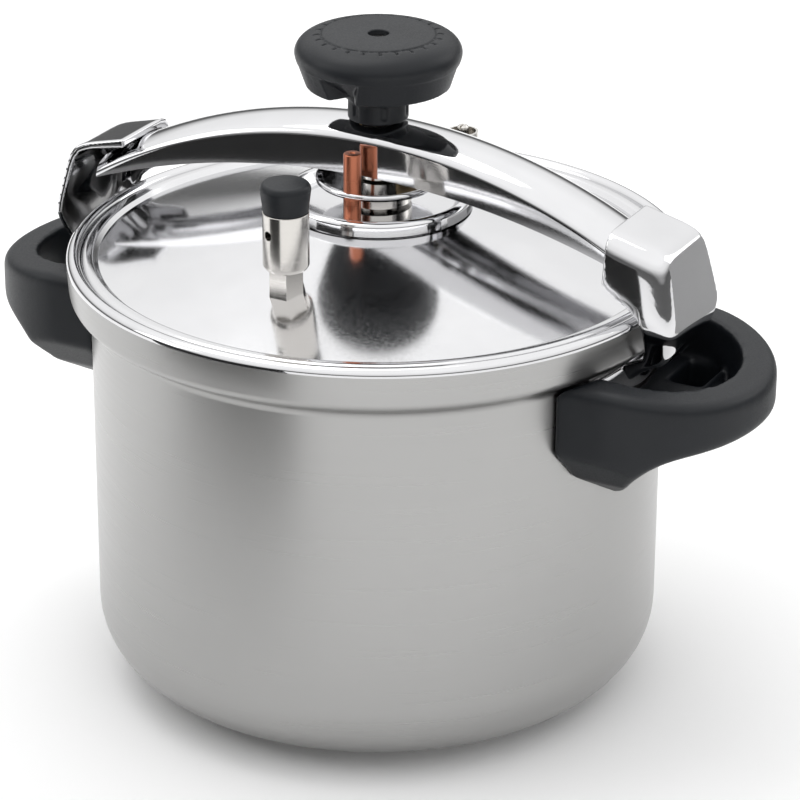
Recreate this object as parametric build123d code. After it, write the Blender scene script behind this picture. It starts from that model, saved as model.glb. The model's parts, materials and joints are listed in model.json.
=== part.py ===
from build123d import *
import os
from math import atan, cos, hypot, tan

# Arch-type pressure canner. Millimetres, +Z up. The origin is the centre of the base's
# underside, +X runs along the arch towards the right-hand lug, +Y to the back.
# Round pieces are given as profiles: lists of (radius, height) pairs turned about an axis.
# Sheet pieces are given as the middle line of the sheet, its bend radii and its thickness.

# ---- driving dimensions: pot ----
POT_R = 111.0            # outside of the wall (22 cm class)
WALL_T = 1.0             # wall sheet
BASE_T = 5.0             # sandwich base under the pot's own bottom
BASE_R = 83.0            # base cap, outside
CAP_T = 0.8              # its sheet
BASE_ROUND = 4.0         # its rounded edge
CORNER_R = 28.0          # bottom corner, outside
BELL_Z = 157.5           # where the wall turns out into the bell, on the sheet's middle
SHELF_Z = 160.5          # gasket shelf, underside
BELL_ROUND, SHELF_ROUND = 5.0, 4.0
RIM_R = 120.5            # outside of the rim band
RIM_Z = 177.5            # top of the rim
RIM_ROLL = 2.4           # radius of the rolled-in rim, to the sheet's middle
RIM_TUCK = 6.5           # how far its edge is tucked down inside

# ---- driving dimensions: lid ----
LID_T = 1.2
LID_R = 114.4            # outside of the lid's skirt
SKIRT_H = 8.0            # height of the skirt below the fold
CONE_R, CONE_Z = 106.5, 175.0     # outer edge of the cone, on its top face
HUB_R, HUB_Z = 36.5, 194.5        # inner edge of the cone, on its top face
DISH_H = 6.3             # height of the hub dish
PLATE_R, PLATE_Z, PLATE_T = 24.5, 204.0, 3.0
PIN_R, PIN_Y, PIN_TOP = 3.4, -20.5, 222.0
PLATE_EYE = (-16.5, -3.5)         # second hole in the pressure plate
VALVE_HOLE_R, BOSS_HOLE_R = 5.05, 6.05

# ---- driving dimensions: arch and lugs ----
ARCH_W = 28.0            # width of the channel
ARCH_T = 2.2             # its sheet
ARCH_END = 119.2         # half length
REF_X = 105.0            # station where the arch's heights are given again
CROWN_Z = (230.0, 204.4)          # crown, at the middle and at REF_X
EDGE_Z = (225.5, 202.9)           # top side edges
LOWER_Z = (210.7, 193.5)          # lower edges
LUG_T = 2.4
LUG_W = 36.0
LUG_IN_X = 104.0         # inner edge of the flange
KNEE_HALF = 22.0         # half width where the outer wall turns in
TAIL_HALF = 15.0         # half width of the tail that runs in under the rim

# ---- driving dimensions: knob and spindle ----
KNOB_R, KNOB_TOP, KNOB_WIDE_Z = 31.8, 264.0, 256.0
STEM_R, STEM_Z = 11.6, 230.4
WING_R = 21.5            # radius of the round tips of the knob's three wings
WING_TURNS = (208.5, 328.5, 88.5)
WING_LOW_Z = 243.6
SCALE_R = 21.5           # engraved ring, inner radius
MARKS = 24               # engraved marks round it
RECESSES = 6             # finger recesses round the stem
SPINDLE_R = 7.0
RUN = 0.08               # radial clearance of a running fit

# ---- driving dimensions: handles ----
GRIP_X = 163.0           # furthest reach of the grip
GRIP_MID = 118.0         # where its arms turn into the half ellipse
GRIP_WALL = 13.5         # thickness of the grip bar, seen from above
BLOCK_X = 134.0          # outer face of the mounting block inside the loop
DECK_Z = 141.5           # top of that block beside the wall
GRIP_TIP_Z = (139.5, 151.5)       # underside and top of the bar at its furthest reach
SHIELD_HALF = 50.0       # half width of the mounting plate
SHIELD_TOP, SHIELD_LOW, SHIELD_TIP = 159.0, 132.0, 103.0
STUD_Z = 122.0           # height of the stud and screw

# ---- driving dimensions: valves ----
VALVE_Y = -71.0
SAFETY_Y = 71.0
PORT_TURN = -110.0       # direction of the steam port in the weight
PORT_Z = 208.2
SPRING_R, SPRING_WIRE_R = 3.15, 0.35


def revolved(face):
    return revolve(Plane.XZ * face, Axis.Z)


def profile(points):
    return make_face(Polyline(*points, close=True))


def beside(points, radii, distance):
    """The same bent line moved to its left by distance, with its corner radii to match."""
    moved, rounded = [], []
    for i, (x, y) in enumerate(points):
        last = len(points) - 1
        ax, ay = unit(points[max(i - 1, 0)], points[max(i, 1)])
        bx, by = unit(points[min(i, last - 1)], points[min(i + 1, last)])
        scale = distance / (1 + ax * bx + ay * by)
        moved.append((x - (ay + by) * scale, y + (ax + bx) * scale))
        if 0 < i < last:
            turn = 1 if ax * by - ay * bx > 0 else -1
            rounded.append(max(radii[i - 1] - turn * distance, 0.05))
    return FilletPolyline(*moved, radius=rounded)


def unit(start, end):
    length = hypot(end[0] - start[0], end[1] - start[1])
    return (end[0] - start[0]) / length, (end[1] - start[1]) / length


def sheet(points, radii, thickness):
    """A bent strip of sheet: its middle line with rounded corners, given a thickness."""
    left = beside(points, radii, thickness / 2)
    right = beside(points, radii, -thickness / 2)
    return make_face(left + right + Line(left @ 0, right @ 0) + Line(left @ 1, right @ 1))


def disc(radius, low, high, x=0.0, y=0.0):
    return Pos(x, y, low) * extrude(Circle(radius), high - low)


def ring(outer, inner, low, high, x=0.0, y=0.0):
    return Pos(x, y, low) * extrude(Circle(outer) - Circle(inner), high - low)


def cone_z(r):
    """Height of the lid's top face at radius r."""
    slope = (HUB_Z - CONE_Z) / (CONE_R - HUB_R)
    return HUB_Z - slope * (r - HUB_R)


def under_lid(depth):
    """Everything above the cone's top face lowered by depth, for trimming fittings to it."""
    over = CONE_Z + 60
    points = [(0, cone_z(0) - depth), (CONE_R, CONE_Z - depth), (CONE_R, over), (0, over)]
    return revolved(profile(points))


def pot_envelope(clear):
    """Everything inside the pot's outer surface, grown by clear, for trimming what hangs on it."""
    wall, band = POT_R + clear, RIM_R + clear
    bell = BELL_Z - 3.5 - clear
    points = [
        (0, 80), (wall, 80), (wall, bell), (wall + 3.5, bell + 3.8),
        (band, bell + 6.6), (band, 180), (0, 180),
    ]
    return revolved(profile(points))


# ---------------------------------------------------------------- pot
def make_pot_body():
    half = WALL_T / 2
    mid_r = POT_R - half
    rim_mid = RIM_R - half
    roll_in = rim_mid - 2 * RIM_ROLL
    points = [
        (0, BASE_T + half),
        (mid_r, BASE_T + half),
        (mid_r, BELL_Z),
        (rim_mid - 1.2, SHELF_Z + 0.8),
        (rim_mid, RIM_Z - half),
        (roll_in, RIM_Z - half),
        (roll_in, RIM_Z - RIM_TUCK),
    ]
    roll = RIM_ROLL - 0.05
    radii = [CORNER_R - half, BELL_ROUND, SHELF_ROUND, roll, roll]
    return revolved(sheet(points, radii, WALL_T))


def make_base_core():
    core = disc(BASE_R - CAP_T - 0.05, CAP_T, BASE_T)
    return fillet(core.edges().group_by(Axis.Z)[0], BASE_ROUND - CAP_T)


def make_base_cap():
    mid = CAP_T / 2
    return revolved(sheet([(0, mid), (BASE_R - mid, mid), (BASE_R - mid, BASE_T)], [BASE_ROUND - mid], CAP_T))


# ---------------------------------------------------------------- lid
def make_lid_shell():
    half = LID_T / 2
    slope = atan((HUB_Z - CONE_Z) / (CONE_R - HUB_R))
    drop = half / cos(slope)
    points = [
        (0, HUB_Z - drop),
        (HUB_R, HUB_Z - drop),
        (CONE_R + 1.5, CONE_Z - drop - 1.5 * tan(slope)),
        (CONE_R + 3.4, CONE_Z + 1.0),
        (LID_R - half, CONE_Z + 1.0),
        (LID_R - half, CONE_Z + 1.0 - SKIRT_H),
    ]
    shell = revolved(sheet(points, [4.0, 0.8, 0.8, 1.8], LID_T))
    shell -= disc(VALVE_HOLE_R, 170, 200, 0, VALVE_Y)
    shell -= disc(VALVE_HOLE_R, 170, 200, 0, SAFETY_Y)
    return shell - disc(BOSS_HOLE_R, 185, 200)


def make_gasket():
    low, high = SHELF_Z + 3.3, SHELF_Z + 12.7
    points = [
        (LID_R - 6.2, low),
        (LID_R - 1.5, low),
        (LID_R - 1.5, high),
        (LID_R - 3.4, high),
        (LID_R - 4.4, low + 3.0),
    ]
    return revolved(fillet(profile(points).vertices(), 0.6))


def make_hub_dish():
    lip, lip_r = HUB_Z + DISH_H, HUB_R - 0.6
    points = [
        (8.0, HUB_Z + 0.9),
        (lip_r - 5.4, HUB_Z + 0.9),
        (lip_r - 2.7, lip - 0.7),
        (lip_r, lip - 1.2),
        (lip_r, HUB_Z + 0.6),
    ]
    dish = revolved(sheet(points, [3.0, 1.2, 1.2], 1.2))
    return dish - disc(PIN_R + 0.05, 180, 230, 0, PIN_Y)


def make_hub_boss():
    """Riveted boss: flange under the plate, shank through the lid, and a peened collar below."""
    points = [
        (0, 187.5), (10, 187.5), (11, 188.6), (11, 193.2),
        (6, 193.2), (6, 194.6), (7.9, 194.6), (7.9, 197.2),
        (13, 197.2), (13, 203.9), (8.5, 203.9), (8.5, 200.4), (0, 200.4),
    ]
    return revolved(profile(points))


def make_pressure_plate():
    top = PLATE_Z + PLATE_T
    points = [
        (8.6, PLATE_Z),
        (PLATE_R - 1.6, PLATE_Z),
        (PLATE_R, PLATE_Z + 1.6),
        (PLATE_R - 0.8, top),
        (PLATE_R - 3.2, top - 0.8),
        (8.6, top - 1.2),
    ]
    plate = revolved(profile(points))
    plate -= disc(PIN_R + 0.15, 200, 210, 0, PIN_Y)
    return plate - disc(3.2, 200, 210, *PLATE_EYE)


def make_guide_pin():
    pin = disc(PIN_R, HUB_Z + 0.3, PIN_TOP, 0, PIN_Y)
    return fillet(pin.edges().group_by(Axis.Z)[-1], 0.8)


# ---------------------------------------------------------------- valves
def make_valve_nozzle():
    points = [
        (1.6, 171.5), (3.6, 171.5), (4.9, 172.5), (4.9, 192.6),
        (4.0, 193.3), (4.0, 207.0), (2.6, 209.0), (1.6, 208.0),
    ]
    return Pos(0, VALVE_Y, 0) * revolved(profile(points))


def hexagon(flats, bore, low, high):
    outline = RegularPolygon(flats / 2, 6, major_radius=False) - Circle(bore)
    return Pos(0, 0, low) * extrude(outline, high - low)


def make_valve_nut():
    nut = Pos(0, VALVE_Y, 0) * hexagon(12.4, 4.95, 183.0, 193.2)
    return nut & under_lid(0.0)


def make_valve_washer():
    washer = ring(7.6, 4.95, 178.4, 186.0, 0, VALVE_Y)
    return washer - under_lid(LID_T + 0.06)


def make_valve_backnut():
    return Pos(0, VALVE_Y, 0) * hexagon(14.0, 4.95, 173.4, 178.4)


def make_weight_body():
    """Turned weight: hollow inside, with a steam port in its side."""
    points = [
        (4.6, 193.5), (7.6, 193.5), (8.65, 195.0), (8.65, 215.8), (7.9, 215.8),
        (7.9, 213.4), (6.2, 213.4), (6.2, 200.0), (4.6, 198.6),
    ]
    body = revolved(profile(points))
    port = Rot(0, 0, PORT_TURN) * Pos(5, 0, PORT_Z) * Rot(0, 90, 0) * Cylinder(1.8, 12)
    return Pos(0, VALVE_Y, 0) * (body - port)


def make_weight_cap():
    points = [
        (0, 213.4), (7.85, 213.4), (7.85, 215.9), (8.4, 216.1),
        (9.5, 224.8), (8.7, 226.9), (0, 227.8),
    ]
    return Pos(0, VALVE_Y, 0) * revolved(profile(points))


def make_weight_needle():
    points = [
        (0, 206.0), (1.2, 208.2), (3.4, 210.4), (3.4, 212.2),
        (6.1, 212.2), (6.1, 213.35), (0, 213.35),
    ]
    return Pos(0, VALVE_Y, 0) * revolved(profile(points))


def make_safety_body():
    """Cup-topped bush: guides the stem and holds its spring below."""
    points = [
        (4.1, 175.0), (7.4, 175.0), (7.4, 177.9), (4.95, 177.9), (4.95, 192.0), (6.2, 192.0),
        (6.2, 201.8), (5.2, 201.8), (5.2, 197.0), (2.4, 197.0), (2.4, 194.5), (4.1, 194.5),
    ]
    return Pos(0, SAFETY_Y, 0) * revolved(profile(points))


def make_safety_nut():
    nut = Pos(0, SAFETY_Y, 0) * hexagon(14.0, 5.0, 183.0, 191.9)
    return nut & under_lid(0.0)


def make_safety_washer():
    washer = ring(8.0, 5.0, 178.0, 186.0, 0, SAFETY_Y)
    return washer - under_lid(LID_T + 0.06)


def make_safety_stem():
    points = [
        (0, 174.6), (3.2, 174.6), (3.2, 175.7), (2.3, 175.7), (2.3, 181.0), (3.8, 181.0),
        (3.8, 182.4), (2.3, 182.4), (2.3, 203.6), (1.7, 204.2), (0, 204.2),
    ]
    stem = Pos(0, SAFETY_Y, 0) * revolved(profile(points))
    return stem - Pos(0, SAFETY_Y, 203.7) * Box(0.8, 6, 1.2)


def make_safety_spring():
    coil = Helix(pitch=1.5, height=8.4, radius=SPRING_R)
    start = Plane(coil @ 0, z_dir=coil % 0)
    wire = sweep(start * Circle(SPRING_WIRE_R), path=coil, is_frenet=True)
    return Pos(0, SAFETY_Y, 183.1) * wire


# ---------------------------------------------------------------- arch
def along(heights, x):
    """Height at station x of a line that falls from heights[0] to heights[1] at REF_X."""
    return heights[0] - (heights[0] - heights[1]) * (x / REF_X) ** 2


def arch_section(x, inset, low_extra):
    """Cross-section at station x: straight sides and a crowned top."""
    half = ARCH_W / 2 - inset
    edge = along(EDGE_Z, x) - inset
    crown = along(CROWN_Z, x) - inset
    low = along(LOWER_Z, x) - low_extra
    top = ThreePointArc((-half, edge), (0, crown), (half, edge))
    rest = Polyline((half, edge), (half, low), (-half, low), (-half, edge))
    return Plane(origin=(x, 0, 0), x_dir=(0, 1, 0), z_dir=(1, 0, 0)) * make_face(top + rest)


def arch_loft(inset, low_extra, reach):
    steps = [-1, -0.75, -0.5, -0.25, 0, 0.25, 0.5, 0.75, 1]
    return loft([arch_section(reach * step, inset, low_extra) for step in steps])


def make_arch_bar():
    outer = arch_loft(0, 0, ARCH_END)
    inner = arch_loft(ARCH_T, 8, ARCH_END + 4)
    bar = outer - inner
    return bar - disc(SPINDLE_R + 1.4, 200, 240)


def make_arch_nut():
    """Bronze nut under the crown, its top face shaped to the inside of the arch."""
    bore = SPINDLE_R + RUN
    points = [(bore, 213.5), (10.0, 213.5), (11.5, 215.0), (11.5, 226.0), (bore, 226.0)]
    return revolved(profile(points)) & arch_loft(ARCH_T + 0.02, 8, ARCH_END)


# ---------------------------------------------------------------- lugs
def lug_line():
    """Side view of a lug's middle line, from the flange's inner edge down to the wall."""
    foot = POT_R + 1.5
    return [(LUG_IN_X, 206.9), (127.6, 200.9), (134.0, 171.5), (127.4, 157.6), (foot, 152.0), (foot, 146.0)]


def make_lug(side):
    """Right-hand lug: flange over the arch, outer wall, tail curved in under the rim, and saddle."""
    strip = sheet(lug_line(), [5.0, 9.0, 7.0, 3.0], LUG_T)
    solid = extrude(Plane.XZ * strip, LUG_W / 2, both=True)
    half = LUG_W / 2
    front = [
        (-half, 212), (half, 212), (KNEE_HALF, 174), (TAIL_HALF, 158),
        (TAIL_HALF, 140), (-TAIL_HALF, 140), (-TAIL_HALF, 158), (-KNEE_HALF, 174),
    ]
    outline = FilletPolyline(*front, radius=[3, 3, 6, 8, 0.5, 0.5, 8, 6], close=True)
    solid &= Pos(90, 0, 0) * extrude(Plane.YZ * make_face(outline), 60)
    # closed cheek, on the side that the arch never leaves by
    cheek = [
        (LUG_IN_X - 0.6, 206.6), (LUG_IN_X - 0.6, 188.5), (LUG_IN_X + 3.5, 185.0),
        (115.5, 181.5), (122.0, 176.0), (126.0, 166.0),
        (132.0, 166.0), (134.2, 172.0), (127.6, 201.0),
    ]
    panel = Plane.XZ * fillet(profile(cheek).vertices(), 1.5)
    solid += Pos(0, -half + LUG_T, 0) * extrude(panel, LUG_T)
    # saddle wings that wrap the pot's wall
    wing = [
        (-33, 155.5), (-20, 157.5), (20, 157.5), (33, 155.5),
        (27, 148), (14, 144), (-14, 144), (-27, 148),
    ]
    patch = Pos(60, 0, 0) * extrude(Plane.YZ * fillet(profile(wing).vertices(), 2.5), 70)
    solid += ring(POT_R + 2.6, POT_R, 140, 160) & patch
    solid -= pot_envelope(0.0)
    return (Rot(0, 0, 180) * solid) if side < 0 else solid


# ---------------------------------------------------------------- handles
def grip_plan(inset):
    """Plan of the grip seen from above, pulled in by inset: a half ellipse on two straight arms."""
    half = SHIELD_HALF - 0.5 - inset
    loop = Pos(GRIP_MID, 0) * Ellipse(GRIP_X - GRIP_MID - inset, half)
    return loop + Pos((100 + GRIP_MID) / 2, 0) * Rectangle(GRIP_MID - 100, 2 * half)


def grip_side():
    """Outline of the grip seen from the front: deep at the wall, slim at its furthest reach."""
    past = GRIP_X + 6
    low_z, high_z = GRIP_TIP_Z
    low = Spline((108, SHIELD_TIP), (121, 114), (132, 126.5), (141, 132.5), (152, 135), (past, low_z))
    top = Spline((past, high_z), (148, 155.5), (130, 158.5), (96, SHIELD_TOP))
    end = Line((past, low_z), (past, high_z))
    inner = Polyline((96, SHIELD_TOP), (96, SHIELD_TIP), (108, SHIELD_TIP))
    return make_face(low + end + top + inner)


def shield_outline():
    """Outline of the mounting plate seen along X."""
    half = SHIELD_HALF + 0.2
    points = [
        (-half, SHIELD_TOP + 1), (half, SHIELD_TOP + 1), (half, SHIELD_LOW), (40, 119),
        (14, SHIELD_TIP), (-14, SHIELD_TIP), (-40, 119), (-half, SHIELD_LOW),
    ]
    return fillet(profile(points).vertices(), 5)


def make_handle(side):
    grip = extrude(grip_plan(0), 200)
    grip &= extrude(Plane.XZ * grip_side(), 80, both=True)
    grip &= Pos(90, 0, 0) * extrude(Plane.YZ * shield_outline(), 90)
    grip = soften(grip)
    # finger opening outside the mounting block, and a hollow above it for the lug's saddle
    opening = Pos(0, 0, 90) * extrude(grip_plan(GRIP_WALL) & Pos(150, 0) * Rectangle(70, 100), 80)
    block_w = 2 * (SHIELD_HALF - GRIP_WALL)
    block = Pos(BLOCK_X - 20, 0, 90) * extrude(Rectangle(40, block_w), 80)
    grip -= opening - block
    grip -= Pos(0, 0, DECK_Z) * extrude(grip_plan(GRIP_WALL), 30)
    # two sloping pockets in the mounting block leave a rib down its middle
    pocket = [(118, DECK_Z + 1), (131.5, DECK_Z + 1), (131.5, 135.0), (125, 126.5), (118, 124.0)]
    for y in (-23, 23):
        grip -= Pos(0, y + 10.5, 0) * extrude(Plane.XZ * profile(pocket), 21)
    grip -= pot_envelope(0.05)
    # stud and screw bores
    along_x = Pos(POT_R, 0, STUD_Z) * Rot(0, 90, 0)
    grip -= along_x * Pos(0, 0, 6) * Cylinder(4.05, 16)
    grip -= along_x * Pos(0, 0, 18) * Cylinder(2.6, 20)
    grip -= along_x * Pos(0, 0, 27) * Cylinder(5.2, 20)
    return (Rot(0, 0, 180) * grip) if side < 0 else grip


def soften(solid):
    """Rounds the outer edges of the grip as far as its shape allows."""
    edges = [e for e in solid.edges() if e.center().X > 125 and e.length > 40]
    for radius in (6.0, 5.0, 4.0, 3.0, 2.0):
        try:
            return fillet(edges, radius)
        except Exception:
            continue
    return solid


def make_handle_stud(side):
    bush = Cylinder(4.0, 13.6) - Pos(0, 0, 3) * Cylinder(2.05, 12)
    stud = Pos(POT_R, 0, STUD_Z) * Rot(0, 90, 0) * Pos(0, 0, 6.8) * bush
    stud -= disc(POT_R, 90, 170)
    return (Rot(0, 0, 180) * stud) if side < 0 else stud


def make_handle_screw(side):
    shank = Pos(POT_R + 4.5, 0, STUD_Z) * Rot(0, 90, 0) * extrude(Circle(2.0), 14)
    head = Pos(POT_R + 17.2, 0, STUD_Z) * Rot(0, 90, 0) * extrude(Circle(4.6), 3.2)
    head = fillet(head.edges().group_by(Axis.X)[-1], 1.2)
    slot = Pos(POT_R + 20.2, 0, STUD_Z)
    screw = shank + head - slot * Box(2.4, 1.1, 6) - slot * Box(2.4, 6, 1.1)
    return (Rot(0, 0, 180) * screw) if side < 0 else screw


# ---------------------------------------------------------------- knob
def knob_wings():
    """Three round-tipped wings under the crown."""
    low = WING_LOW_Z
    points = [(STEM_R - 2, low), (KNOB_R - 4.2, low), (KNOB_R - 0.9, KNOB_WIDE_Z - 3.0), (STEM_R - 2, 253.0)]
    wing = revolved(profile(points))
    for turn in WING_TURNS:
        yield wing & (Rot(0, 0, turn) * Pos(25, 0, low - 4) * extrude(Circle(WING_R), 20))


def make_knob():
    top = [
        (0, KNOB_TOP - 0.6),
        (18, KNOB_TOP - 0.4),
        (26, KNOB_TOP - 1.6),
        (30.6, KNOB_WIDE_Z + 3.4),
        (KNOB_R, KNOB_WIDE_Z),
        (KNOB_R - 0.8, KNOB_WIDE_Z - 3.2),
    ]
    crown = Spline(*top, tangents=((1, 0), (-0.3, -1)))
    neck = [(STEM_R + 2.0, 239.5), (STEM_R, 238.0), (STEM_R, STEM_Z), (0, STEM_Z)]
    knob = revolved(make_face(crown + Polyline(top[-1], *neck, top[0])))
    for wing in knob_wings():
        knob += wing
    # screw well, spindle socket and the hole between them
    knob -= disc(4.0, 258.5, 270)
    knob -= disc(SPINDLE_R + 0.05, 220, 252)
    knob -= disc(2.3, 220, 262)
    # engraved ring with scale marks
    knob -= Pos(0, 0, 262.6) * extrude(Circle(SCALE_R + 0.9) - Circle(SCALE_R), 3)
    for step in range(MARKS):
        knob -= Rot(0, 0, 360 / MARKS * step) * Pos(SCALE_R + 1.9, 0, 263.2) * Box(2.6, 0.9, 2.4)
    for step in range(RECESSES):
        turn = Rot(0, 0, 360 / RECESSES * step + 10)
        knob -= turn * Pos(STEM_R + 1.4, 0, STEM_Z + 4.4) * Cylinder(2.2, 5.4)
    return knob


def make_spindle():
    rod = disc(SPINDLE_R - 0.02, 205.6, 251.9)
    rod = chamfer(rod.edges().group_by(Axis.Z)[0], 1.0)
    return rod - disc(1.8, 236, 253) - disc(3.0, 204, 209.0)


def make_knob_screw():
    screw = disc(1.75, 238, 258.6) + disc(3.7, 258.6, 261.4)
    return screw - Pos(0, 0, 261.2) * Box(1.0, 5.4, 1.6)


def make_spindle_foot():
    """Hardened thrust button in the spindle's end, which bears on the hub boss."""
    points = [
        (0, 200.6), (3.0, 200.6), (5.6, 202.4), (5.6, 205.55),
        (2.95, 205.55), (2.95, 208.9), (0, 208.9),
    ]
    return revolved(profile(points))


def build():
    parts = {
        "pot_body": make_pot_body(),
        "base_core": make_base_core(),
        "base_cap": make_base_cap(),
        "lid_shell": make_lid_shell(),
        "gasket": make_gasket(),
        "hub_dish": make_hub_dish(),
        "hub_boss": make_hub_boss(),
        "pressure_plate": make_pressure_plate(),
        "guide_pin": make_guide_pin(),
        "valve_nozzle": make_valve_nozzle(),
        "valve_nut": make_valve_nut(),
        "valve_washer": make_valve_washer(),
        "valve_backnut": make_valve_backnut(),
        "weight_body": make_weight_body(),
        "weight_cap": make_weight_cap(),
        "weight_needle": make_weight_needle(),
        "safety_body": make_safety_body(),
        "safety_nut": make_safety_nut(),
        "safety_washer": make_safety_washer(),
        "safety_stem": make_safety_stem(),
        "safety_spring": make_safety_spring(),
        "arch_bar": make_arch_bar(),
        "arch_nut": make_arch_nut(),
        "knob": make_knob(),
        "spindle": make_spindle(),
        "knob_screw": make_knob_screw(),
        "spindle_foot": make_spindle_foot(),
    }
    for side, name in ((1, "right"), (-1, "left")):
        parts["lug_" + name] = make_lug(side)
        parts["handle_" + name] = make_handle(side)
        parts["handle_stud_" + name] = make_handle_stud(side)
        parts["handle_screw_" + name] = make_handle_screw(side)
    return parts


os.makedirs("parts", exist_ok=True)
for node, shape in build().items():
    export_step(shape, "parts/" + node + ".step")
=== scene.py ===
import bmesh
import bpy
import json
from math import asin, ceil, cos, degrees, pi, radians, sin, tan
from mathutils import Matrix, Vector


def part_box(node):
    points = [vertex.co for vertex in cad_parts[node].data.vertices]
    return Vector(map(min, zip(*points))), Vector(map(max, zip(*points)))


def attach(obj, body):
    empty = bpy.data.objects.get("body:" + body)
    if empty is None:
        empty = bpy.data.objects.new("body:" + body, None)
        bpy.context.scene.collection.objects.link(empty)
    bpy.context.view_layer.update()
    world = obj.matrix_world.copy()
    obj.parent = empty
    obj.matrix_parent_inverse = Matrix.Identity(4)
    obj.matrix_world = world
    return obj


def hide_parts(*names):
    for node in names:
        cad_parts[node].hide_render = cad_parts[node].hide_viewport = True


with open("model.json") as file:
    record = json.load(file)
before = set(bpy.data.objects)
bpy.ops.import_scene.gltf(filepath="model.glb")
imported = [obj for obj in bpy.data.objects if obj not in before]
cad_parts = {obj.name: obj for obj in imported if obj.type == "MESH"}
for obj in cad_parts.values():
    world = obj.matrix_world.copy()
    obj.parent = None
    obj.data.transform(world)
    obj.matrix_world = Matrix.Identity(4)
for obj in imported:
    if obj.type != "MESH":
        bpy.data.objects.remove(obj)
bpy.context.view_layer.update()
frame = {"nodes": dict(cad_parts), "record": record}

# %% [markdown]
# # An arch-type pressure canner
# This lesson dresses a finished engineering model of a stainless steel pressure canner. The frame
# that was just loaded fixes every size, axis and clearance. What is left is what the eye judges:
# true round walls, soft pressed edges, mirror steel beside satin steel, and moulded black grips.

MM = 0.001
SMOOTH_UNDER = radians(32)
pot_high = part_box("pot_body")[1]
arch_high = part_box("arch_bar")[1]
lid_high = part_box("lid_shell")[1]
RIM_R = pot_high.x / MM
RIM_Z = pot_high.z / MM
LID_R = lid_high.x / MM
HUB_Z = lid_high.z / MM
print("rim radius", round(RIM_R, 1), "rim height", round(RIM_Z, 1), "hub height", round(HUB_Z, 1))

# %% [markdown]
# ## A lathe made of edit-mode operators
# Most of this object is turned or spun from sheet on a mandrel, so most of it has one profile swept
# round an axis. We could revolve a curve, but a traced line of vertices lets us round each corner
# with a vertex bevel before the spin, just as a spinner rounds a corner with a roller.

# %% Tracing a line and rounding its corners
DEGREES_PER_SEGMENT = 9


def start_at(name, point):
    """A new object that holds one vertex, ready to be extruded into a line."""
    bpy.ops.object.select_all(action="DESELECT")
    bpy.ops.mesh.primitive_plane_add(size=0.01, location=(0, 0, 0))
    piece = bpy.context.object
    piece.name = name
    piece.data.name = name
    bpy.ops.object.mode_set(mode="EDIT")
    bpy.ops.mesh.select_all(action="SELECT")
    bpy.ops.mesh.merge(type="CENTER")
    bpy.ops.transform.translate(value=Vector(point) * MM)
    return piece


def choose(test, kind="verts"):
    """Selects the vertices, edges or faces of the mesh in edit mode that pass a test."""
    bpy.ops.mesh.select_all(action="DESELECT")
    mesh = bmesh.from_edit_mesh(bpy.context.object.data)
    chosen = [part for part in getattr(mesh, kind) if test(part)]
    for part in chosen:
        part.select_set(True)
    mesh.select_flush_mode()
    return len(chosen)


def near(point, reach=0.02):
    """A test that a vertex lies within reach of a point, both in millimetres."""
    target = Vector(point) * MM
    return lambda vert: (vert.co - target).length < reach * MM


def extrude_to(start, end):
    """Extrudes the selected end of the line by the step between two points."""
    step = (Vector(end) - Vector(start)) * MM
    bpy.ops.mesh.extrude_region_move(TRANSFORM_OT_translate={"value": step})


def round_off(before, corner, after, radius):
    """Replaces a corner of the line by an arc."""
    turn = (Vector(corner) - Vector(before)).angle(Vector(after) - Vector(corner))
    segments = max(2, ceil(degrees(turn) / DEGREES_PER_SEGMENT))
    choose(near(corner))
    bpy.ops.mesh.bevel(offset=radius * tan(turn / 2) * MM, segments=segments, affect="VERTICES")


def trace(name, points, radii=None, closed=False):
    """Draws a line through points in millimetres; radii gives a rounding for some corners."""
    piece = start_at(name, points[0])
    for start, end in zip(points, points[1:]):
        extrude_to(start, end)
    if closed:
        choose(lambda vert: near(points[0])(vert) or near(points[-1])(vert))
        bpy.ops.mesh.edge_face_add()
    count = len(points)
    for index, radius in (radii or {}).items():
        before, after = points[(index - 1) % count], points[(index + 1) % count]
        round_off(before, points[index], after, radius)
    return piece

# %% Spinning it, and finishing every piece the same way
def close_up(piece, angle=SMOOTH_UNDER):
    """Welds doubles, turns the faces outwards, and smooths all but the sharp edges."""
    bpy.ops.mesh.select_all(action="SELECT")
    bpy.ops.mesh.remove_doubles(threshold=0.004 * MM)
    bpy.ops.mesh.normals_make_consistent(inside=False)
    bpy.ops.object.mode_set(mode="OBJECT")
    bpy.ops.object.shade_smooth_by_angle(angle=angle)
    return piece


def turned(name, profile, radii=None, closed=True, steps=144, centre=(0, 0)):
    """A round piece: profile holds (radius, height) pairs in millimetres."""
    piece = trace(name, [(r, 0, z) for r, z in profile], radii, closed)
    bpy.ops.mesh.select_all(action="SELECT")
    bpy.ops.mesh.spin(steps=steps, angle=2 * pi, center=(0, 0, 0), axis=(0, 0, 1))
    bpy.ops.mesh.select_all(action="SELECT")
    bpy.ops.transform.translate(value=(centre[0] * MM, centre[1] * MM, 0))
    return close_up(piece)


def modify(piece, kind, **settings):
    """Adds one modifier and applies it."""
    bpy.ops.object.select_all(action="DESELECT")
    piece.select_set(True)
    bpy.context.view_layer.objects.active = piece
    modifier = piece.modifiers.new(kind.title(), kind)
    for key, value in settings.items():
        setattr(modifier, key, value)
    bpy.ops.object.modifier_apply(modifier=modifier.name)
    return piece


def walled(piece, thickness, offset=0.0):
    """Gives a spun surface the thickness of its sheet."""
    modify(piece, "SOLIDIFY", thickness=thickness * MM, offset=offset, use_even_offset=True)
    bpy.ops.object.shade_smooth_by_angle(angle=SMOOTH_UNDER)
    return piece


def combine(piece, tool, operation):
    """One boolean between two pieces; the tool is removed."""
    modify(piece, "BOOLEAN", object=tool, operation=operation, solver="EXACT")
    bpy.data.objects.remove(tool)
    return piece


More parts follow.
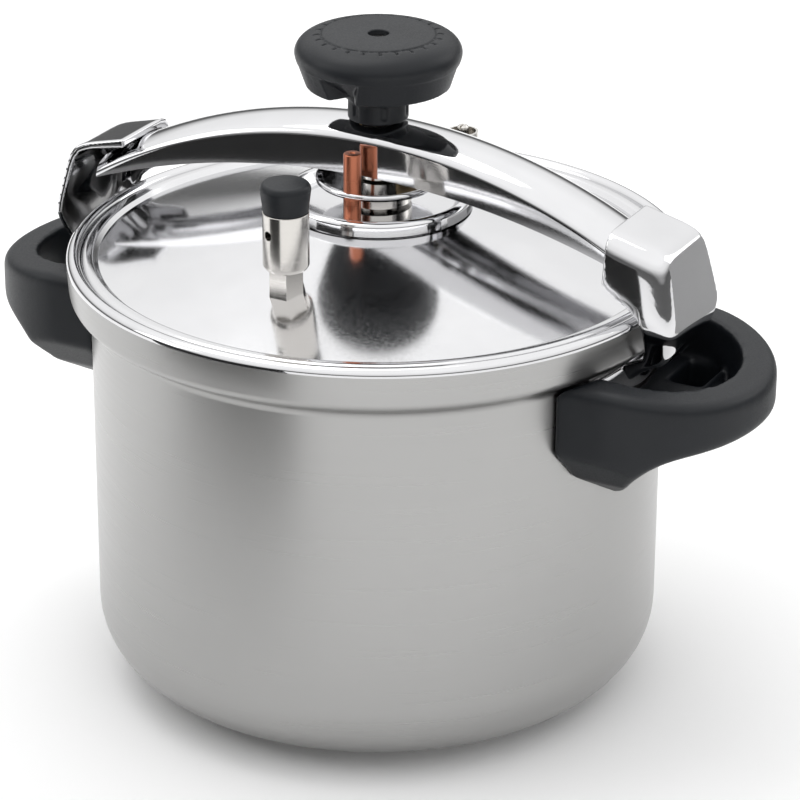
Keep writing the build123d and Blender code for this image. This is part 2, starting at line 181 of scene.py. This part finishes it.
def drilled(piece, location, radius, depth, rotation, sides=48):
    """Cuts a round hole."""
    bpy.ops.object.select_all(action="DESELECT")
    bpy.ops.mesh.primitive_cylinder_add(vertices=sides, radius=radius * MM, depth=depth * MM,
                                        location=Vector(location) * MM, rotation=rotation)
    combine(piece, bpy.context.object, "DIFFERENCE")
    bpy.ops.object.shade_smooth_by_angle(angle=SMOOTH_UNDER)
    return piece


def fit(piece, body, slot, *nodes, look=None):
    """Puts a finished piece on its body in place of the plain CAD nodes."""
    piece.data.materials.clear()
    piece.data.materials.append(finish[look or slot])
    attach(piece, body)
    if nodes:
        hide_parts(*nodes)
    print(piece.name, len(piece.data.polygons), "faces")

# %% [markdown]
# ## Finishes
# Steel shows itself through what it reflects, so the metal nodes stay simple: a bright metallic
# base, a roughness that wanders a little, and a bump far too fine to see as shape. The pot's wall
# has been brushed round and round on a lathe, so its noise is stretched along the circumference.

# %% Building blocks for node materials
def new_material(name):
    material = bpy.data.materials.new(name)
    material.use_nodes = True
    nodes = material.node_tree.nodes
    return material, nodes, material.node_tree.links, nodes["Principled BSDF"]


def object_noise(nodes, links, scale, detail=4.0, stretch=(1, 1, 1)):
    """Noise on Object coordinates, stretched along the axes."""
    coords = nodes.new("ShaderNodeTexCoord")
    mapping = nodes.new("ShaderNodeMapping")
    mapping.inputs["Scale"].default_value = stretch
    noise = nodes.new("ShaderNodeTexNoise")
    noise.inputs["Scale"].default_value = scale
    noise.inputs["Detail"].default_value = detail
    links.new(coords.outputs["Object"], mapping.inputs["Vector"])
    links.new(mapping.outputs["Vector"], noise.inputs["Vector"])
    return noise


def between(nodes, links, source, low, high, target):
    """Drives a socket from a 0 to 1 value, between two values."""
    ramp = nodes.new("ShaderNodeMapRange")
    ramp.inputs["From Min"].default_value = 0.3
    ramp.inputs["From Max"].default_value = 0.7
    ramp.inputs["To Min"].default_value = low
    ramp.inputs["To Max"].default_value = high
    links.new(source, ramp.inputs["Value"])
    links.new(ramp.outputs["Result"], target)


def tinted(nodes, links, source, dark, light, target):
    mix = nodes.new("ShaderNodeMix")
    mix.data_type = "RGBA"
    mix.inputs["A"].default_value = (*dark, 1)
    mix.inputs["B"].default_value = (*light, 1)
    links.new(source, mix.inputs["Factor"])
    links.new(mix.outputs["Result"], target)


def bumped(nodes, links, source, depth, shader, strength=1.0):
    bump = nodes.new("ShaderNodeBump")
    bump.inputs["Strength"].default_value = strength
    bump.inputs["Distance"].default_value = depth
    links.new(source, bump.inputs["Height"])
    links.new(bump.outputs["Normal"], shader.inputs["Normal"])

# %% Steel: mirror, satin and turned
def mirror_steel(name, dark=(0.62, 0.62, 0.63), light=(0.72, 0.72, 0.73), low=0.045, high=0.085):
    """Buffed sheet: nearly a mirror, with a faint orange-peel and buffing haze."""
    material, nodes, links, shader = new_material(name)
    shader.inputs["Metallic"].default_value = 1.0
    haze = object_noise(nodes, links, 38.0, 5.0)
    tinted(nodes, links, haze.outputs["Fac"], dark, light, shader.inputs["Base Color"])
    fine = object_noise(nodes, links, 700.0, 3.0, (1, 1, 2.5))
    between(nodes, links, fine.outputs["Fac"], low, high, shader.inputs["Roughness"])
    peel = object_noise(nodes, links, 24.0, 2.0)
    bumped(nodes, links, peel.outputs["Fac"], 0.00012, shader, 0.35)
    return material


def satin_steel(name, dark, light, low, high, grain=1500.0, depth=0.000012):
    """Steel brushed round its axis: fine lines that run along the circumference."""
    material, nodes, links, shader = new_material(name)
    shader.inputs["Metallic"].default_value = 1.0
    lines = object_noise(nodes, links, 1.0, 4.0, (9, 9, grain))
    clouds = object_noise(nodes, links, 9.0, 3.0, (1, 1, 0.6))
    tinted(nodes, links, clouds.outputs["Fac"], dark, light, shader.inputs["Base Color"])
    between(nodes, links, lines.outputs["Fac"], low, high, shader.inputs["Roughness"])
    bumped(nodes, links, lines.outputs["Fac"], depth, shader)
    return material

# %% [markdown]
# Phenolic resin comes out of a hard steel mould with a soft satin skin: almost black, a little
# blue, with a fine texture that breaks up the highlight. Silicone is duller and paler. The
# copper-coloured pin and the bronze nut are turned metals.

# %% Resin, rubber and coloured metals
def phenolic(name):
    material, nodes, links, shader = new_material(name)
    clouds = object_noise(nodes, links, 60.0, 4.0)
    dark, light = (0.004, 0.005, 0.007), (0.009, 0.011, 0.014)
    tinted(nodes, links, clouds.outputs["Fac"], dark, light, shader.inputs["Base Color"])
    skin = object_noise(nodes, links, 1800.0, 3.0)
    between(nodes, links, skin.outputs["Fac"], 0.36, 0.50, shader.inputs["Roughness"])
    shader.inputs["Specular IOR Level"].default_value = 0.32
    bumped(nodes, links, skin.outputs["Fac"], 0.00004, shader, 0.55)
    return material


def rubber(name, dark, light):
    material, nodes, links, shader = new_material(name)
    skin = object_noise(nodes, links, 900.0, 4.0)
    tinted(nodes, links, skin.outputs["Fac"], dark, light, shader.inputs["Base Color"])
    between(nodes, links, skin.outputs["Fac"], 0.55, 0.75, shader.inputs["Roughness"])
    bumped(nodes, links, skin.outputs["Fac"], 0.00005, shader, 0.5)
    return material


finish = {
    "satin_steel": satin_steel("Satin wall", (0.37, 0.368, 0.363), (0.42, 0.417, 0.411), 0.27, 0.33,
                               depth=0.000006),
    "base_steel": satin_steel("Turned base", (0.52, 0.51, 0.50), (0.60, 0.59, 0.58), 0.22, 0.34, 300.0),
    "polished_steel": mirror_steel("Polished steel"),
    "machined_steel": satin_steel("Machined steel", (0.60, 0.58, 0.55), (0.70, 0.68, 0.65), 0.14, 0.24,
                                  3000.0, 0.000008),
    "spring_steel": satin_steel("Spring wire", (0.42, 0.42, 0.44), (0.52, 0.52, 0.54), 0.25, 0.35),
    "aluminium_core": satin_steel("Aluminium core", (0.70, 0.71, 0.72), (0.78, 0.79, 0.80), 0.35, 0.5, 600.0),
    "copper": satin_steel("Copper pin", (0.40, 0.13, 0.075), (0.56, 0.21, 0.12), 0.26, 0.38, 2500.0),
    "bronze": satin_steel("Bronze nut", (0.52, 0.36, 0.16), (0.64, 0.46, 0.23), 0.25, 0.38, 2500.0),
    "buffed_lid": mirror_steel("Buffed lid", low=0.09, high=0.14),
    "phenolic": phenolic("Black phenolic"),
    "gasket_rubber": rubber("Grey silicone", (0.42, 0.43, 0.44), (0.50, 0.51, 0.52)),
    "seal_rubber": rubber("Seal rubber", (0.02, 0.02, 0.02), (0.035, 0.035, 0.035)),
}
print("finishes", sorted(finish))

# %% Every CAD node gets its finish first
for entry in frame["record"]["subparts"]:
    node = frame["nodes"][entry["node"]]
    node.data.materials.clear()
    node.data.materials.append(finish[entry["material_slot"]])
bpy.ops.object.select_all(action="DESELECT")

# %% [markdown]
# ## The pot
# The pot is deep-drawn from one disc of steel. Its wall flares into a bell that seats the gasket,
# and the rim is rolled inwards so that no raw edge shows. One traced line, spun and thickened,
# gives all of it. The rim band is buffed bright while the wall keeps its satin.

# %% A second finish above a height
def polish_above(piece, height, slot="polished_steel"):
    """Gives the faces above a height, in millimetres, a second finish."""
    piece.data.materials.append(finish[slot])
    for face in piece.data.polygons:
        if face.center.z > height * MM:
            face.material_index = 1

# %% Pot wall
WALL_MID_R, BELL_Z, POLISH_FROM = 110.5, 157.5, 172.5
rim, rim_top = RIM_R - 0.3, RIM_Z - 0.5
roll = rim - 5.1
pot_line = [(0, 5.5), (WALL_MID_R, 5.5), (WALL_MID_R, BELL_Z), (rim - 1.5, 161.3), (rim - 0.3, rim_top),
            (roll, rim_top), (roll, RIM_Z - 6.5)]
pot_rounds = {1: 27.5, 2: 5.5, 3: 4.2, 4: 2.35, 5: 2.3}
pot_wall = turned("pot_wall", pot_line, pot_rounds, closed=False, steps=192)
walled(pot_wall, 1.0)
fit(pot_wall, "pot", "satin_steel", "pot_body")
polish_above(pot_wall, POLISH_FROM)

# %% Base cap
base_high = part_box("base_cap")[1]
base_r, base_t = base_high.x / MM, base_high.z / MM
base_line = [(0, 0.4), (base_r - 0.4, 0.4), (base_r - 0.4, base_t - 0.05)]
base_pan = walled(turned("base_pan", base_line, {1: 3.6}, closed=False), 0.8)
fit(base_pan, "pot", "base_steel", "base_cap")

# %% [markdown]
# ## The lid and its hub
# The lid is a shallow spun cone with a folded edge that drops inside the rim and holds the
# gasket. A polished dish covers its middle, and a round plate sits on the dish.

# %% Lid
fold = LID_R - 0.6
flat_z = HUB_Z - 0.62
lid_line = [(0, flat_z), (36.5, flat_z), (108.0, 173.98), (109.9, 176.0), (fold, 176.0), (fold, 168.0)]
lid_rounds = {1: 4.0, 2: 0.9, 3: 0.9, 4: 1.8}
lid = walled(turned("lid_cone", lid_line, lid_rounds, closed=False, steps=192), 1.2)
fit(lid, "lid", "polished_steel", "lid_shell", look="buffed_lid")

# %% Hub dish and pressure plate
dish_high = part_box("hub_dish")[1]
lip = dish_high.x / MM - 0.6
lip_z = dish_high.z / MM
dish_z = HUB_Z + 0.9
dish_line = [(8.0, dish_z), (30.5, dish_z), (33.2, lip_z - 0.6), (lip, lip_z - 1.1), (lip, HUB_Z + 0.6)]
dish = walled(turned("hub_dish_bright", dish_line, {1: 3.0, 2: 1.2, 3: 1.2}, closed=False), 1.15)
fit(dish, "lid", "polished_steel", "hub_dish")
plate_low, plate_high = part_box("pressure_plate")
edge, foot_z = plate_high.x / MM, plate_low.z / MM
plate_line = [(8.6, foot_z), (edge - 1.6, foot_z), (edge, foot_z + 1.6), (edge - 0.8, foot_z + 3.0),
              (edge - 3.2, foot_z + 2.2), (8.6, foot_z + 1.8)]
plate = turned("pressure_plate_bright", plate_line, {1: 0.7, 2: 0.9, 3: 0.8, 4: 1.5})
fit(plate, "lid", "polished_steel", "pressure_plate")

# %% Guide pin
pin_low, pin_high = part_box("guide_pin")
pin_r = (pin_high.x - pin_low.x) / 2 / MM
pin_y = (pin_high.y + pin_low.y) / 2 / MM
pin_foot, pin_top = pin_low.z / MM, pin_high.z / MM
pin_line = [(0, pin_foot), (pin_r, pin_foot), (pin_r, pin_top), (1.3, pin_top), (0.9, pin_top - 0.5),
            (0, pin_top - 0.5)]
pin = turned("copper_pin", pin_line, {2: 0.7}, closed=False, steps=48, centre=(0, pin_y))
fit(pin, "lid", "copper", "guide_pin")

# %% [markdown]
# ## The valves
# The weight valve is a hollow turned body with a small steam port in its side and a black cap
# pushed into its top. It sits loose on a nozzle that a nut clamps to the lid.

# %% Weight valve
body_low, body_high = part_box("weight_body")
valve_y = (body_high.y + body_low.y) / 2 / MM
r, low, top = body_high.x / MM, body_low.z / MM, body_high.z / MM
body_line = [(4.6, low), (r - 1.05, low), (r, low + 1.5), (r, top), (r - 0.75, top), (r - 0.75, top - 2.4),
             (6.2, top - 2.4), (6.2, low + 6.5), (4.6, low + 5.1)]
body_rounds = {1: 0.4, 2: 1.2, 3: 0.3, 4: 0.25}
weight = turned("weight_shell", body_line, body_rounds, steps=96, centre=(0, valve_y))

PORT_TURN = radians(-110)
PORT_OUT, PORT_Z = 7.5, 208.2
PORT_R, PORT_DEPTH = 1.8, 6
port_at = (PORT_OUT * cos(PORT_TURN), valve_y + PORT_OUT * sin(PORT_TURN), PORT_Z)
drilled(weight, port_at, PORT_R, PORT_DEPTH, (0, radians(90), PORT_TURN))
fit(weight, "valve_weight", "machined_steel", "weight_body")

# %% Valve cap
cap_low, cap_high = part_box("weight_cap")
cap_r, cap_top, seat = cap_high.x / MM, cap_high.z / MM, cap_low.z / MM
cap_line = [(0, seat), (7.85, seat), (7.85, top + 0.1), (8.4, top + 0.35), (cap_r, cap_top - 3.0),
            (cap_r - 0.8, cap_top - 0.9), (0, cap_top)]
cap_rounds = {3: 0.3, 4: 1.3, 5: 1.6}
cap = turned("weight_cap_moulded", cap_line, cap_rounds, closed=False, steps=96, centre=(0, valve_y))
fit(cap, "valve_weight", "phenolic", "weight_cap")

# %% [markdown]
# ## The arch
# The arch is a channel pressed from thick strip: a crowned top, two straight cheeks, open below.
# Its crown line is a circle's arc seen from the front, so we trace the channel's section once,
# spin it from the middle to one end of that arc, and mirror it. A large cylinder trims its
# lower edges.

# %% Squaring off the ends
def trimmed(piece, plane_x):
    """Cuts the ends off square, on planes at plus and minus plane_x, and closes them."""
    for sign in (1, -1):
        bpy.ops.object.mode_set(mode="EDIT")
        bpy.ops.mesh.select_all(action="SELECT")
        bpy.ops.mesh.bisect(plane_co=(sign * plane_x * MM, 0, 0), plane_no=(sign, 0, 0),
                            use_fill=True, clear_outer=True)
        bpy.ops.object.mode_set(mode="OBJECT")
    return piece

# %% Arch bar
arch_top = arch_high.z / MM
half_w = arch_high.y / MM
SHEET = 2.2
CROWN = 3.2
SHOULDER_R = 3.2
CHEEK = 30
SWEEP_R = 228.1
turn_z = arch_top - SWEEP_R
side = half_w - SHEET / 2
crown_mid = arch_top - SHEET / 2
stations = [i / 6 for i in range(-6, 7)]
section = [(0, -side, crown_mid - CHEEK)]
section += [(0, side * t, crown_mid - CROWN * t * t) for t in stations]
section += [(0, side, crown_mid - CHEEK)]
arch = trace("arch_channel", section, {1: SHOULDER_R, len(section) - 2: SHOULDER_R})
bpy.ops.mesh.select_all(action="SELECT")
reach = asin((arch_high.x / MM) / (SWEEP_R + 4))
bpy.ops.mesh.spin(steps=48, angle=reach * 1.1, center=(0, 0, turn_z * MM), axis=(0, 1, 0))
close_up(arch)
modify(arch, "MIRROR", use_axis=(True, False, False), use_clip=True, merge_threshold=0.00002)
walled(arch, SHEET)

# %% Trimming the arch
LOWER_R, LOWER_TOP = 329.1, 210.7
SPINDLE_HOLE_R = 8.4
trimmed(arch, arch_high.x / MM)
drilled(arch, (0, 0, LOWER_TOP - LOWER_R), LOWER_R, 80, (radians(90), 0, 0), sides=512)
drilled(arch, (0, 0, arch_top), SPINDLE_HOLE_R, 20, (0, 0, 0))
modify(arch, "BEVEL", width=0.35 * MM, segments=2, limit_method="ANGLE", angle_limit=radians(50))
bpy.ops.object.shade_smooth_by_angle(angle=SMOOTH_UNDER)
fit(arch, "arch", "polished_steel", "arch_bar")

# %% [markdown]
# ## The lugs
# Each lug is a heavy pressing: a flange over the arch's end, an outer wall, a knee, and a tail
# that runs in under the rim to a saddle on the wall. One side is closed by a cheek, so the arch
# can only swing in from the other. The two lugs are the same pressing turned half round.

# %% Prisms to press the lug from
def prism(name, outline, across, start, length):
    """A closed outline extruded straight: across is the axis, 0 for X and 1 for Y."""
    def place(a, b):
        return (start, a, b) if across == 0 else (a, start, b)
    piece = trace(name, [place(a, b) for a, b in outline], closed=True)
    bpy.ops.mesh.select_all(action="SELECT")
    bpy.ops.mesh.edge_face_add()
    step = (length * MM, 0, 0) if across == 0 else (0, length * MM, 0)
    bpy.ops.mesh.extrude_region_move(TRANSFORM_OT_translate={"value": step})
    return close_up(piece)


# %% [markdown]
# The outside of the lug is where a prism seen from the side meets a prism seen from the front.
# Rebuilding that block as an even skin and relaxing it rounds every fold as a press would. The
# inside is a similar block, about one sheet thickness smaller. Subtracting it leaves a shell.

# %% Block with pressed folds
BLOCK_SKIN, BLOCK_RELAX = 0.8, 400
SIDE_LINE = [(96.0, 210.0), (128.0, 202.0), (134.5, 171.5), (128.2, 157.2), (114.2, 151.4), (114.2, 146.0),
             (96.0, 146.0)]
FRONT_LINE = [(-18.0, 212.0), (-18.0, 203.0), (-22.0, 174.0), (-15.6, 158.0), (-15.6, 140.0), (45.0, 140.0),
              (45.0, 212.0)]
INNER_SIDE = [(90.0, 207.4), (126.2, 199.9), (131.9, 171.9), (126.6, 159.2), (111.8, 153.2), (111.8, 140.0),
              (90.0, 140.0)]
INNER_FRONT = [(-15.7, 216.0), (-15.7, 202.8), (-19.6, 174.0), (-13.3, 158.5), (-13.3, 134.0), (55.0, 134.0),
               (55.0, 216.0)]


def pressed_block(name, side_line, front_line):
    """Where a side prism meets a front prism, with every fold relaxed."""
    block = prism(name, side_line, 1, -60, 120)
    combine(block, prism(name + " front", front_line, 0, 60, 100), "INTERSECT")
    modify(block, "REMESH", mode="VOXEL", voxel_size=BLOCK_SKIN * MM)
    return modify(block, "SMOOTH", iterations=BLOCK_RELAX, factor=0.5)


lug = pressed_block("lug", SIDE_LINE, FRONT_LINE)
combine(lug, pressed_block("hollow", INNER_SIDE, INNER_FRONT), "DIFFERENCE")

# %% Cutting the lug's free edges
LUG_SKIN, LUG_RELAX = 0.5, 16
BACK_EDGE = [(18.0, 215.0), (18.0, 202.0), (22.0, 174.0), (15.6, 158.0), (15.6, 130.0), (70.0, 130.0),
             (70.0, 215.0)]
FREE_EDGE = [(80.0, 188.6), (103.8, 188.4), (108.2, 185.2), (114.5, 181.8), (119.0, 178.2), (121.2, 173.0),
             (121.3, 166.0), (119.6, 160.6), (113.0, 157.4), (80.0, 157.4)]
END_EDGE = [(80.0, 220.0), (103.6, 220.0), (103.6, 186.0), (112.0, 170.0), (112.0, 120.0), (80.0, 120.0)]
combine(lug, prism("back cut", BACK_EDGE, 0, 60, 100), "DIFFERENCE")
combine(lug, prism("free cut", FREE_EDGE, 1, -60, 48), "DIFFERENCE")
combine(lug, prism("end cut", END_EDGE, 1, -60, 140), "DIFFERENCE")
modify(lug, "REMESH", mode="VOXEL", voxel_size=LUG_SKIN * MM)
modify(lug, "SMOOTH", iterations=LUG_RELAX, factor=0.5)
bpy.ops.object.shade_smooth()
print("lug box", [round(value / MM, 1) for value in lug.dimensions])

# %% Lug saddle
LUG_SHEET = 2.3
SADDLE_R, SADDLE_Z, SADDLE_STEP = 112.45, 144.5, 1.3
SADDLE_HALF_TURN = 17
SADDLE_HALF_WIDTH, SADDLE_MID_Z = 33.0, 154.5


def finish_sheet(piece, rounding):
    """Closes a sheet, thickens it and rounds its edges."""
    close_up(piece, radians(50))
    modify(piece, "SOLIDIFY", thickness=LUG_SHEET * MM, offset=0.0, use_even_offset=True,
           use_quality_normals=True)
    modify(piece, "BEVEL", width=rounding * MM, segments=3, limit_method="ANGLE", angle_limit=radians(55))
    bpy.ops.object.shade_smooth_by_angle(angle=radians(50))
    return piece


def make_saddle():
    """A curved patch on the wall: a short line spun through a small angle, its ends tapered."""
    saddle = trace("saddle", [(SADDLE_R, 0, SADDLE_Z + SADDLE_STEP * i) for i in range(11)])
    bpy.ops.mesh.select_all(action="SELECT")
    bpy.ops.transform.rotate(value=radians(SADDLE_HALF_TURN), orient_axis="Z", center_override=(0, 0, 0))
    bpy.ops.mesh.spin(steps=24, angle=radians(-2 * SADDLE_HALF_TURN), center=(0, 0, 0), axis=(0, 0, 1))
    mesh = bmesh.from_edit_mesh(saddle.data)
    for y in sorted({round(vert.co.y / MM, 2) for vert in mesh.verts}):
        choose(lambda vert: abs(vert.co.y / MM - y) < 0.02)
        taper = 1 - 0.75 * (abs(y) / SADDLE_HALF_WIDTH) ** 1.6
        bpy.ops.transform.resize(value=(1, 1, taper), center_override=(0, 0, SADDLE_MID_Z * MM))
    return finish_sheet(saddle, 0.6)


saddle = make_saddle()
bpy.ops.object.select_all(action="DESELECT")
saddle.select_set(True)
lug.select_set(True)
bpy.context.view_layer.objects.active = lug
bpy.ops.object.join()
print("lug", len(lug.data.polygons), "faces")

# %% The second lug is the first one turned half round
def turned_copy(piece, name):
    """A copy with its own mesh, turned half round the pot's axis."""
    bpy.ops.object.select_all(action="DESELECT")
    piece.select_set(True)
    bpy.context.view_layer.objects.active = piece
    bpy.ops.object.duplicate()
    copy = bpy.context.object
    copy.name = name
    copy.data.name = name
    bpy.ops.object.mode_set(mode="EDIT")
    bpy.ops.mesh.select_all(action="SELECT")
    bpy.ops.transform.rotate(value=pi, orient_axis="Z", center_override=(0, 0, 0))
    bpy.ops.object.mode_set(mode="OBJECT")
    return copy


lug.name = "lug_pressing_right"
other_lug = turned_copy(lug, "lug_pressing_left")
fit(lug, "pot", "polished_steel", "lug_right")
fit(other_lug, "pot", "polished_steel", "lug_left")

# %% [markdown]
# ## Moulded grips and knob
# Phenolic parts have no sharp corners: the powder flows into a mould whose edges are all eased.
# We copy the engineering shape, weld it, rebuild it as an even skin of small quads, and relax
# that skin. The relaxing is what eases the edges, and the even skin keeps the highlights clean.

# %% Moulding helper
GRIP_SKIN, GRIP_RELAX = 0.9, 18
KNOB_SKIN, KNOB_RELAX = 0.42, 3


def moulded(node, name, skin, relax, factor=0.5):
    """A softened copy of a CAD node with an even skin."""
    bpy.ops.object.select_all(action="DESELECT")
    source = frame["nodes"][node]
    source.select_set(True)
    bpy.context.view_layer.objects.active = source
    bpy.ops.object.duplicate()
    piece = bpy.context.object
    piece.name = name
    piece.data.name = name
    for key in [key for key in piece.keys() if key.startswith("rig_")]:
        del piece[key]
    piece.parent = None
    bpy.ops.object.mode_set(mode="EDIT")
    bpy.ops.mesh.select_all(action="SELECT")
    bpy.ops.mesh.remove_doubles(threshold=0.002 * MM)
    bpy.ops.object.mode_set(mode="OBJECT")
    modify(piece, "REMESH", mode="VOXEL", voxel_size=skin * MM, use_smooth_shade=True)
    modify(piece, "SMOOTH", iterations=relax, factor=factor)
    bpy.ops.object.shade_smooth()
    return piece


grip = moulded("handle_right", "grip_right", GRIP_SKIN, GRIP_RELAX)
other_grip = moulded("handle_left", "grip_left", GRIP_SKIN, GRIP_RELAX)
fit(grip, "pot", "phenolic", "handle_right")
fit(other_grip, "pot", "phenolic", "handle_left")
knob = moulded("knob", "knob_moulded", KNOB_SKIN, KNOB_RELAX)
fit(knob, "knob", "phenolic", "knob")

# %% [markdown]
# ## Stage, light and camera
# Mirror steel needs something to mirror. A white room alone would make it vanish, so three cards
# stand outside the picture, two low ones at the front left and a grey one at the back right.
# Their places and greys were chosen for this camera. Other views show them as they are.

# %% Floor
bpy.ops.object.select_all(action="DESELECT")
bpy.ops.mesh.primitive_plane_add(size=8, location=(0, 0, 0))
floor = bpy.context.object
floor.name = "floor"
floor_material, _, _, shader = new_material("Pale floor")
shader.inputs["Base Color"].default_value = (0.93, 0.93, 0.93, 1)
shader.inputs["Roughness"].default_value = 0.9
shader.inputs["Specular IOR Level"].default_value = 0.1
floor.data.materials.append(floor_material)

# %% Cards
def card(name, centre, width, height, turn, grey):
    """An upright card that stands on the floor outside the picture."""
    bpy.ops.object.select_all(action="DESELECT")
    bpy.ops.mesh.primitive_plane_add(size=1, location=centre, rotation=(radians(90), 0, turn))
    piece = bpy.context.object
    piece.name = name
    piece.scale = (width, height, 1)
    bpy.ops.object.transform_apply(location=False, rotation=False, scale=True)
    material, _, _, shader = new_material(name)
    shader.inputs["Base Color"].default_value = (grey, grey, grey, 1)
    shader.inputs["Roughness"].default_value = 1.0
    shader.inputs["Specular IOR Level"].default_value = 0.0
    piece.data.materials.append(material)


card("dark card", (-0.16, -0.335, 0.14), 0.34, 0.13, radians(-8), 0.03)
card("low card", (-0.16, -0.335, 0.0375), 0.34, 0.075, radians(-8), 0.22)
card("grey card", (0.31, 0.29, 0.14), 0.32, 0.28, radians(-28), 0.42)

# %% Camera
TURN, PITCH, ROLL = radians(28.0), radians(24.3), radians(0.3)
DISTANCE, LENS = 1.4147, 162.0
AIM_ACROSS, AIM_Z = 0.0088, 0.1121
across = Vector((cos(TURN), sin(TURN), 0))
target = across * AIM_ACROSS + Vector((0, 0, AIM_Z))
toward = Vector((sin(TURN) * cos(PITCH), -cos(TURN) * cos(PITCH), sin(PITCH)))
bpy.ops.object.camera_add(location=target + toward * DISTANCE)
camera = bpy.context.object
aim = toward.to_track_quat("Z", "Y")
camera.rotation_mode = "QUATERNION"
camera.rotation_quaternion = aim
camera.rotation_mode = "XYZ"
camera.rotation_euler.rotate_axis("Z", ROLL)
camera.data.lens = LENS
camera.data.sensor_width = 36
camera.data.clip_start = 0.01
bpy.context.scene.camera = camera

# %% Lights
def soft_light(name, place, size, watts, aim_at=(0, 0, 0.12)):
    """A rectangular area light turned towards the object."""
    bpy.ops.object.light_add(type="AREA", location=place)
    light = bpy.context.object
    light.name = name
    light.data.shape = "RECTANGLE"
    light.data.size, light.data.size_y = size
    light.data.energy = watts
    direction = Vector(aim_at) - Vector(place)
    light.rotation_euler = direction.to_track_quat("-Z", "Y").to_euler()


soft_light("overhead", (-0.5, 0.1, 1.6), (1.2, 1.0), 6.0)
soft_light("left window", (-1.4, -1.0, 0.9), (0.7, 0.9), 2.5)
soft_light("back window", (1.0, 1.3, 0.9), (0.5, 0.9), 2.0)

# %% Room
GREYS = [(0.0, 0.12), (0.10, 0.10), (0.24, 0.62), (0.34, 0.84), (0.75, 1.0)]
BRIGHTNESS = 1.32


def room(name, steps):
    """A world whose brightness depends only on height above the horizon."""
    world = bpy.data.worlds.new(name)
    world.use_nodes = True
    nodes, links = world.node_tree.nodes, world.node_tree.links
    coords = nodes.new("ShaderNodeTexCoord")
    axes = nodes.new("ShaderNodeSeparateXYZ")
    ramp = nodes.new("ShaderNodeValToRGB")
    links.new(coords.outputs["Generated"], axes.inputs["Vector"])
    links.new(axes.outputs["Z"], ramp.inputs["Fac"])
    links.new(ramp.outputs["Color"], nodes["Background"].inputs["Color"])
    stops = ramp.color_ramp.elements
    while len(stops) < len(steps):
        stops.new(0.5)
    for stop, (place, grey) in zip(stops, steps):
        stop.position = place
        stop.color = (grey, grey, grey, 1)
    nodes["Background"].inputs["Strength"].default_value = BRIGHTNESS
    return world


bpy.context.scene.world = room("studio", GREYS)
bpy.context.scene.view_settings.view_transform = "Standard"
